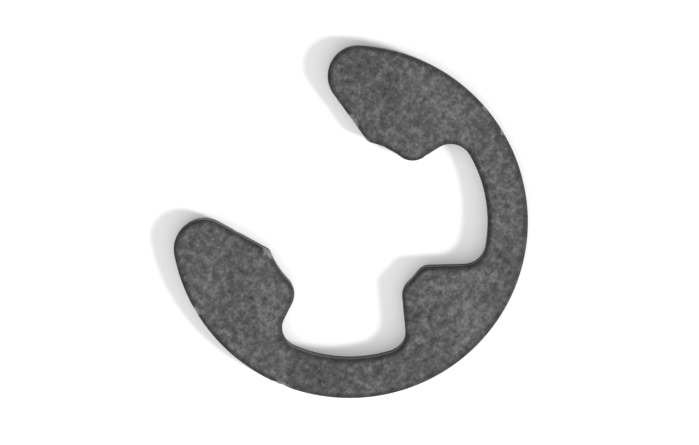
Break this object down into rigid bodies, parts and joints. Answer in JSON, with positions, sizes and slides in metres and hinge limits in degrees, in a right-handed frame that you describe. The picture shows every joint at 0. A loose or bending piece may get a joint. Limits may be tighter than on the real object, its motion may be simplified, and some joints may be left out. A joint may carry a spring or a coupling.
{
  "type": "e clip",
  "caption": "Flat spring steel retaining clip with an open mouth, a heel lug and a lug inside each arm, pushed sideways into a groove on a shaft.",
  "frame": {"origin": "on the axis of the shaft that the clip grips, at the face that it lies on", "axes": "+Z along the shaft, through the strip's thickness; +Y out of the mouth; the heel lug is at -Y and the clip is the same on both sides of the YZ plane"},
  "size_m": [0.0184, 0.0155, 0.0011],
  "materials": {
    "phosphated_spring_steel": "matt dark grey phosphate, lightly oiled"
  },
  "bodies": {
    "root": {"e_clip": "phosphated_spring_steel"}
  },
  "joints": []
}
